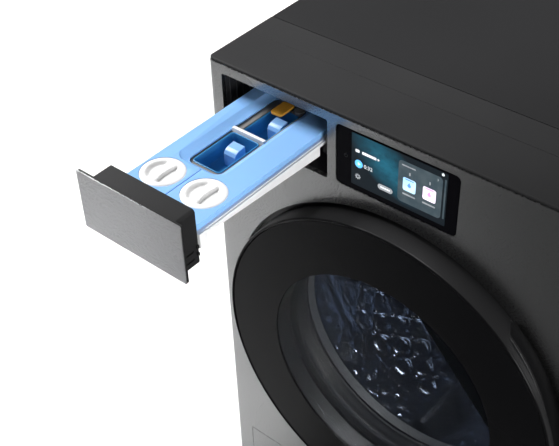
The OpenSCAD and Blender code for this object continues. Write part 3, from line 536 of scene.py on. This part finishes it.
def add_door():
    ring = add_piece("door_ring_shape", lathe(ring_outline, 360), "door", "gloss_black", node="door_ring")
    ring.data.materials.append(RING_SATIN)
    for face in ring.data.polygons:
        out = math.hypot(face.center.x, face.center.z - DOOR_Z)
        face.material_index = 1 if out > DOOR_R - 0.4 * MM else 0
    edge = RING_R - 5.3
    front, back = RIM_Y + 1.5, RIM_Y + 5.5
    add_piece("door_glass_border", lathe(lambda a: [
        (WINDOW_R, front + 0.1), (edge - 1.2, front + 0.1), (edge, front + 1), (edge, back),
        (WINDOW_R, back)], 240), "door", "gloss_black", node="door_glass")
    pane = bmesh.new()
    rings = []
    steps = 240
    for y in (front + 0.1, back):
        ring = []
        for i in range(steps):
            a = 2 * math.pi * i / steps
            ring.append(pane.verts.new((WINDOW_R * MM * math.cos(a), FRONT_Y + y * MM,
                                        DOOR_Z + WINDOW_R * MM * math.sin(a))))
        rings.append(ring)
    pane.faces.new(rings[0])
    pane.faces.new(rings[1][::-1])
    for i in range(steps):
        k = (i + 1) % steps
        pane.faces.new((rings[0][k], rings[0][i], rings[1][i], rings[1][k]))
    add_piece("door_window", pane, "door", "door_glass", node="door_glass")
    bowl = [(200, -24), (203, -24.5), (204.7, -23), (204.7, -18), (203.5, -4), (202, 12), (197.5, 22),
            (192, 32), (184.5, 48), (176, 64), (170.5, 75), (164, 84), (158, 90), (150, 94), (128, 97.2),
            (100, 99), (50, 100.5), (0.5, 101), (0.5, 96.5), (50, 96), (98, 94.4), (126, 92.6),
            (146, 89.5), (154, 86), (160, 81), (166, 72), (171.5, 61), (180, 45), (187.5, 29), (193, 19),
            (197, 11), (199, -4)]
    add_piece("door_bowl_shape", lathe(lambda a: bowl, 144), "door", "bowl_glass", node="door_bowl",
              sharp=60)


def add_gasket():
    """The door gasket, whose front lip meets the cabinet and rear edge the tub, made as one piece on no body.
    """
    fold = [(208, 13), (211, 12.6), (213, 13.4), (215.7, 16), (216.5, 22), (217, 28), (220, 29.5),
            (225, 30.5), (229.5, 33.5), (231, 38), (231, 44), (229, 49.5), (226.5, 53.5), (226.5, 58),
            (226, 63), (222, 64.5), (216.6, 64.5), (216, 62), (218, 60), (221, 57), (222, 52),
            (225, 47.5), (227, 44), (227, 39), (224, 34), (218, 32.6), (211.5, 32), (211, 27), (208, 23),
            (202, 20.8), (200.5, 19.6), (201.5, 18), (205, 16.5)]
    piece = add_piece("gasket_bellows", lathe(lambda a: fold, 144), None, "gasket_rubber",
                      node="door_gasket", sharp=70)
    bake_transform(piece)


def add_springs():
    """The two tub springs between cabinet and tub, made as one piece on no body."""
    bm = bmesh.new()
    bm.from_mesh(NODES["hanging_springs"].data)
    piece = add_piece("hanging_springs_shape", bm, None, "spring_steel", node="hanging_springs",
                      sharp=60)
    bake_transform(piece)


# ---------------------------------------------------------------- drum
# painted shade: the drum's front ring takes a darker copy of the drum's steel, which dims what it reflects
SHADED_DRUM_LIP = brushed("drum_lip_shaded", (0.09, 0.1, 0.125), 1.0, (0.12, 0.2))
PAD_HEIGHT, FINE_PAD_HEIGHT, BEAD_HEIGHT, RING_PAD_HEIGHT = 2.8, 1.6, 1.2, 1.4
DRUM_SKIN = 0.8


def pad(u, v):
    """Height, 0 to 1, of flat-topped pads set between a staggered grid of holes."""
    return smooth_step(abs(math.sin(math.pi * (u + v) / 2) * math.sin(math.pi * (u - v) / 2)), 0.12, 0.6)


def add_drum():
    """Perforated shell with embossed pads, and the front ring with two rows of them."""
    low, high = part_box("drum_shell")
    outer = high.x / MM
    y0, y1 = (low.y - FRONT_Y) / MM, (high.y - FRONT_Y) / MM
    around, rows, fine, bead = 60, 16, 7, 3
    cell = (y1 - y0) / rows
    bm = bmesh.new()
    grid = []
    for i in range(around * fine):
        a = 2 * math.pi * i / (around * fine)
        line = []
        for j in range(rows * fine + 1):
            u, v = i / fine, j / fine
            fade = smooth_step(min(v, rows - v), 0.1, 0.7) * smooth_step(abs(v - bead), 0.3, 0.8)
            fine_pads = FINE_PAD_HEIGHT * pad(1.5 * u, 1.5 * v)
            lift = (fine_pads if v < bead else PAD_HEIGHT * pad(u, v)) * fade
            lift += BEAD_HEIGHT * (1 - smooth_step(abs(v - bead), 0.05, 0.3))
            r = outer - 1.0 - lift
            line.append(bm.verts.new((r * MM * math.cos(a), FRONT_Y + (y0 + cell * v) * MM,
                                      DOOR_Z + r * MM * math.sin(a))))
        grid.append(line)
    for i in range(around * fine):
        k = (i + 1) % (around * fine)
        for j in range(rows * fine):
            u, v = i // fine, j // fine
            hole = i % fine == 0 and j % fine == 0 and (u + v) % 2 == 0 and 0 < v < rows - 1 and v != bead
            if not hole:
                bm.faces.new((grid[i][j], grid[i][j + 1], grid[k][j + 1], grid[k][j]))
    piece = add_piece("drum_shell_shape", bm, "drum", "drum_steel", node="drum_shell", sharp=60)
    skin = piece.modifiers.new("skin", "SOLIDIFY")
    skin.thickness = DRUM_SKIN * MM
    skin.offset = -1

    mouth = min(math.hypot(v.co.x, v.co.z - DOOR_Z) for v in NODES["drum_front_ring"].data.vertices) / MM
    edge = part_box("drum_front_ring")[1].x / MM
    front = (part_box("drum_front_ring")[0].y - FRONT_Y) / MM
    count = 24

    def section(angle):
        faces = []
        for j in range(count + 1):
            t = j / count
            rise = RING_PAD_HEIGHT * pad(angle / 6, 2.4 * t - 0.2) * smooth_step(min(t, 1 - t), 0.08, 0.2)
            faces.append((mouth + 8 + t * (edge - mouth - 9), front + 3 + 8 * t + rise))
        lip = [(mouth, front + 8), (mouth, front + 2), (mouth + 2, front + 0.4), (mouth + 4.5, front),
               (mouth + 6.5, front + 1.2)]
        return lip + faces + [(edge, front + 13), (edge - 1, front + 14), (mouth + 8, front + 8)]

    add_piece("drum_front_shape", lathe(section, 480), "drum", "drum_steel", SHADED_DRUM_LIP,
              "drum_front_ring", 50)


# ---------------------------------------------------------------- dosing drawer
CARRIER_GREY = plastic("carrier_grey", (0.2, 0.195, 0.19), (0.35, 0.45))
CAP_R, CAP_RECESS_R = 32.4, 24.2
CAP_RIM, CAP_CROWN, CAP_SCOOP = 2.3, 0.9, 4.2
SLOT_X, SLOT_TOPS = -136, (-86, -99)
SEAM_X, SEAM_END_Y = (-214.7, -213.3), -157
WEB_Y, WEB_Z = -53.3, -61.3


def add_cap(node):
    """Screw cap with a crowned rim and a scoop on each side of its finger bar."""
    low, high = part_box(node)
    cx, cy, top, bottom = (low.x + high.x) / 2, (low.y + high.y) / 2, high.z, low.z
    rim_bottom = top - CAP_RIM * MM
    bm = bmesh.new()
    steps = 72
    radii = [0.01] + [CAP_RECESS_R * i / 18 for i in range(1, 19)]
    radii += [25, 25.8, 27, 29, 30.6, 31.5, 32.1, CAP_R]
    rings = []
    for r in radii:
        ring = []
        for i in range(steps):
            a = 2 * math.pi * i / steps
            x, y = r * math.cos(a), r * math.sin(a)
            bowl = 1 - smooth_step(r, CAP_RECESS_R - 5.5, CAP_RECESS_R + 0.8)
            half = 3.6 + 2.4 * smooth_step(abs(y), 4, 22)
            beside = smooth_step(x, half, half + 2.4) + smooth_step(-x, half, half + 6)
            scoop = CAP_SCOOP * bowl * beside
            crown = CAP_CROWN * (1 - smooth_step(r, 27, CAP_R)) - 0.7 * smooth_step(r, 31, CAP_R)
            ring.append(bm.verts.new((cx + x * MM, cy + y * MM, top + (crown - CAP_CROWN - scoop) * MM)))
        rings.append(ring)
    for r, z in ((CAP_R, rim_bottom), (30, rim_bottom), (29.9, bottom)):
        ring = []
        for i in range(steps):
            a = 2 * math.pi * i / steps
            ring.append(bm.verts.new((cx + r * MM * math.cos(a), cy + r * MM * math.sin(a), z)))
        rings.append(ring)
    for here, there in zip(rings, rings[1:]):
        for i in range(steps):
            k = (i + 1) % steps
            bm.faces.new((here[i], here[k], there[k], there[i]))
    bm.faces.new(rings[0])
    bm.faces.new(rings[-1][::-1])
    return add_piece(node + "_shape", bm, BODY_OF[node], "cap_white", node=node, sharp=50)


def add_drawer():
    """Pieces of the drawer. Returns the pale ones inside it."""
    rounded_copy("drawer_fascia", 0.45)
    low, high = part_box("drawer_shell")
    rounded_copy("drawer_shell", 1.2, 3, cuts=[
        (((SLOT_X - 2) * MM, low.y + 9 * MM, TOP_Z + (z - 4) * MM),
         ((SLOT_X + 5) * MM, high.y - 9 * MM, TOP_Z + z * MM)) for z in SLOT_TOPS])
    low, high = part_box("tank_cover")
    seam = ((SEAM_X[0] * MM, low.y - MM, high.z - 2.4 * MM),
            (SEAM_X[1] * MM, FRONT_Y + SEAM_END_Y * MM, high.z + MM))
    inside = [rounded_copy("tank_cover", 0.9, 3, cuts=[seam])]
    inside += [rounded_copy(node, width, 3) for node, width in (
        ("drawer_tray", 0.7), ("detergent_cup", 0.8), ("softener_cup", 0.8), ("detergent_insert", 1.2),
        ("softener_insert", 1.2), ("release_lever", 1.1))]
    carrier = rounded_copy("cup_divider", 0.6)
    carrier.data.materials.append(CARRIER_GREY)
    for face in carrier.data.polygons:
        across = abs(face.center.y - FRONT_Y - WEB_Y * MM) < 4 * MM
        web = across and face.center.z > TOP_Z + WEB_Z * MM
        face.material_index = 0 if web else 1
    return inside + [carrier, add_cap("detergent_cap"), add_cap("softener_cap")]


# ---------------------------------------------------------------- display
SCREEN = {
    "glow": screen_glow(),
    "white": lit("screen_white", (0.7, 0.72, 0.74), (0.85, 0.87, 0.89), 0.6),
    "grey": lit("screen_grey", (0.25, 0.27, 0.29), (0.36, 0.38, 0.4), 0.5),
    "card": lit("screen_card", (0.05, 0.075, 0.09), (0.075, 0.1, 0.115), 0.35),
    "play": lit("screen_play", (0.08, 0.42, 0.85), (0.16, 0.55, 0.95), 0.7),
    "blue": lit("screen_blue", (0.45, 0.72, 0.98), (0.62, 0.88, 1.0), 0.6),
    "deep": lit("screen_deep", (0.1, 0.25, 0.8), (0.16, 0.35, 0.9), 0.6),
    "pink": lit("screen_pink", (0.85, 0.74, 0.92), (0.98, 0.9, 1.0), 0.6),
    "rose": lit("screen_rose", (0.75, 0.3, 0.62), (0.85, 0.42, 0.72), 0.6),
    "faint": lit("screen_faint", (0.02, 0.02, 0.022), (0.035, 0.035, 0.037), 0.3),
}


def add_display():
    rounded_copy("display_glass", 0.5)
    face = (GLASS_LOW.y - FRONT_Y) / MM

    def show(name, outline, colour, lift=0.1):
        add_piece("screen_" + name, prism(outline, face - lift, face + 0.05), "cabinet", "display_panel",
                  SCREEN[colour])

    show("picture", round_rect(-0.7, -64.8, 155.4, 87.4, 1.5), "glow", 0.04)
    show("power_ring", ring_part(-88.2, -64.8, 2.5, 3.0, 125, 415), "faint", 0.06)
    show("power_bar", round_rect(-88.2, -62.4, 0.6, 3.2, 0.25), "faint", 0.06)
    # programme name as plain bars, with a small plus
    show("title_a", round_rect(-68.4, -48.5, 7.0, 5.0, 1.2), "white")
    show("title_b", round_rect(-48.6, -48.7, 24, 4.4, 1.2), "white")
    show("title_plus_a", round_rect(-33.4, -48.5, 4.2, 1.2, 0.4), "white")
    show("title_plus_b", round_rect(-33.4, -48.5, 1.2, 4.2, 0.4), "white", 0.14)
    show("play", disc(-65.8, -69.8, 6.6), "play")
    show("play_mark", [(-67.3, -67.0), (-67.3, -72.6), (-62.9, -69.8)], "white", 0.16)
    show("gear", [(-67 + r * math.cos(math.radians(a)), -92 + r * math.sin(math.radians(a)))
                  for i in range(8) for a, r in ((45 * i - 14, 3.6), (45 * i - 9, 4.8), (45 * i + 9, 4.8),
                                                 (45 * i + 14, 3.6))], "grey")
    show("gear_hole", disc(-67, -92, 1.5), "faint", 0.16)
    show("pill", round_rect(-20.5, -91.7, 24.8, 9.2, 4.5), "grey")
    show("pill_text", round_rect(-20.5, -91.7, 16, 2.2, 1), "white", 0.16)
    show("card", round_rect(34.7, -65.2, 69.6, 69, 6), "card", 0.08)
    show("card_title", round_rect(16, -37.4, 22, 2.0, 0.9), "grey", 0.14)
    show("card_more", [(61.2, -35.4), (62, -35.0), (63.2, -36.9), (62, -38.8), (61.2, -38.4), (62.1, -36.9)],
         "grey", 0.14)
    for x, tone, mark, drop in ((18.2, "blue", "deep", "left"), (50.2, "pink", "rose", "right")):
        show("tile_" + drop, round_rect(x, -67.4, 20.6, 21.6, 3), tone, 0.14)
        show("drop_" + drop, [(x + 2.9 * math.cos(math.radians(a)), -68.4 + 2.9 * math.sin(math.radians(a)))
                              for a in range(-215, 36, 15)] + [(x, -62.8)], mark, 0.2)
        show("tile_line_" + drop, round_rect(x, -58.9, 14, 1.6, 0.7), mark, 0.2)
        show("count_" + drop, round_rect(x, -48.6, 2.2, 5.2, 1), "grey", 0.14)
        show("label_" + drop, round_rect(x, -84.6, 20.5, 2.6, 1.1), "grey", 0.14)
    show("home", [(66.4, -24.8), (69, -22.0), (71.6, -24.8), (70.8, -24.8), (70.8, -27), (67.2, -27),
                  (67.2, -24.8)], "white")
    show("scroll", round_rect(73.8, -64, 2.6, 66, 1.2), "card", 0.1)
    # remaining time in plain numbers
    words = bpy.data.curves.new("screen_time", "FONT")
    words.body = "0:32"
    words.size = 8.6 * MM
    words.extrude = 0.05 * MM
    made = bpy.data.objects.new("screen_time_curve", words)
    bpy.context.scene.collection.objects.link(made)
    bpy.context.view_layer.update()
    data = bpy.data.meshes.new_from_object(made.evaluated_get(bpy.context.evaluated_depsgraph_get()))
    bpy.data.objects.remove(made)
    upright = Matrix.Rotation(math.radians(90), 4, "X")
    data.transform(Matrix.Translation(local(-57.2, face - 0.1, -73)) @ upright)
    data.materials.clear()
    data.materials.append(SCREEN["white"])
    piece = bpy.data.objects.new("screen_time", data)
    bpy.context.scene.collection.objects.link(piece)
    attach(piece, "cabinet")


# ---------------------------------------------------------------- cabinet
SCREW_R, PANEL_SCREW_HEIGHT, COVER_SCREW_HEIGHT = 4.2, 0.6, 2.4
SERVICE_COVER_Y = 778.7


def screw_head(bm, at, r, height):
    """Pan head with a cross recess, facing +Y."""
    rings = []
    for f, h in ((1, 0), (1, 0.35), (0.85, 0.75), (0.55, 1)):
        rings.append([bm.verts.new((at.x + f * r * math.cos(math.pi * i / 12), at.y + h * height,
                                    at.z + f * r * math.sin(math.pi * i / 12))) for i in range(24)])
    for here, there in zip(rings, rings[1:]):
        for i in range(24):
            k = (i + 1) % 24
            bm.faces.new((here[i], there[i], there[k], here[k]))
    dip = []
    for i in range(24):
        reach = (0.45 if i % 6 in (0, 1, 5) else 0.16) * r
        dip.append(bm.verts.new((at.x + reach * math.cos(math.pi * i / 12), at.y + 0.55 * height,
                                 at.z + reach * math.sin(math.pi * i / 12))))
    for i in range(24):
        k = (i + 1) % 24
        bm.faces.new((rings[-1][i], dip[i], dip[k], rings[-1][k]))
    bm.faces.new(dip[::-1])
    bm.faces.new(rings[0])


def add_screws():
    """Screws down both sides of the rear panel and round the service cover."""
    bm = bmesh.new()
    low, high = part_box("rear_panel")
    inset = 9 * MM
    for x in (low.x + inset, high.x - inset):
        for i in range(7):
            z = low.z + 0.04 + i * (high.z - low.z - 0.08) / 6
            screw_head(bm, Vector((x, high.y - PANEL_SCREW_HEIGHT * MM, z)), SCREW_R * MM,
                       PANEL_SCREW_HEIGHT * MM)
    low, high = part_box("rear_service_cover")
    ring = high.x - 12 * MM
    for i in range(8):
        a = math.radians(22.5 + 45 * i)
        at = Vector((ring * math.cos(a), FRONT_Y + SERVICE_COVER_Y * MM, DOOR_Z + ring * math.sin(a)))
        screw_head(bm, at, SCREW_R * MM, COVER_SCREW_HEIGHT * MM)
    add_piece("rear_screws", bm, "cabinet", "hinge_steel", sharp=50)


def add_cabinet():
    rounded_copy("front_panel", 0.45)
    rounded_copy("top_front_trim", 0.5)
    rounded_copy("top_plate", 0.9, 3)
    for node in ("side_panel_left", "side_panel_right", "rear_panel", "rear_service_cover", "service_flap",
                 "door_surround", "drawer_housing", "base_frame"):
        rounded_copy(node, 0.4)
    for node in ("door_inner_frame", "hinge_bracket", "hinge_leaf", "latch_hook", "door_lock", "filter_cap",
                 "inlet_valves", "drain_outlet", "cord_gland", "levelling_feet"):
        rounded_copy(node, 0.5)
    add_screws()


# ---------------------------------------------------------------- assembly
dress_frame()
key_light = add_studio()
add_camera()
add_cabinet()
add_display()
link_light(key_light, add_drawer())
add_door()
add_gasket()
add_springs()
add_drum()
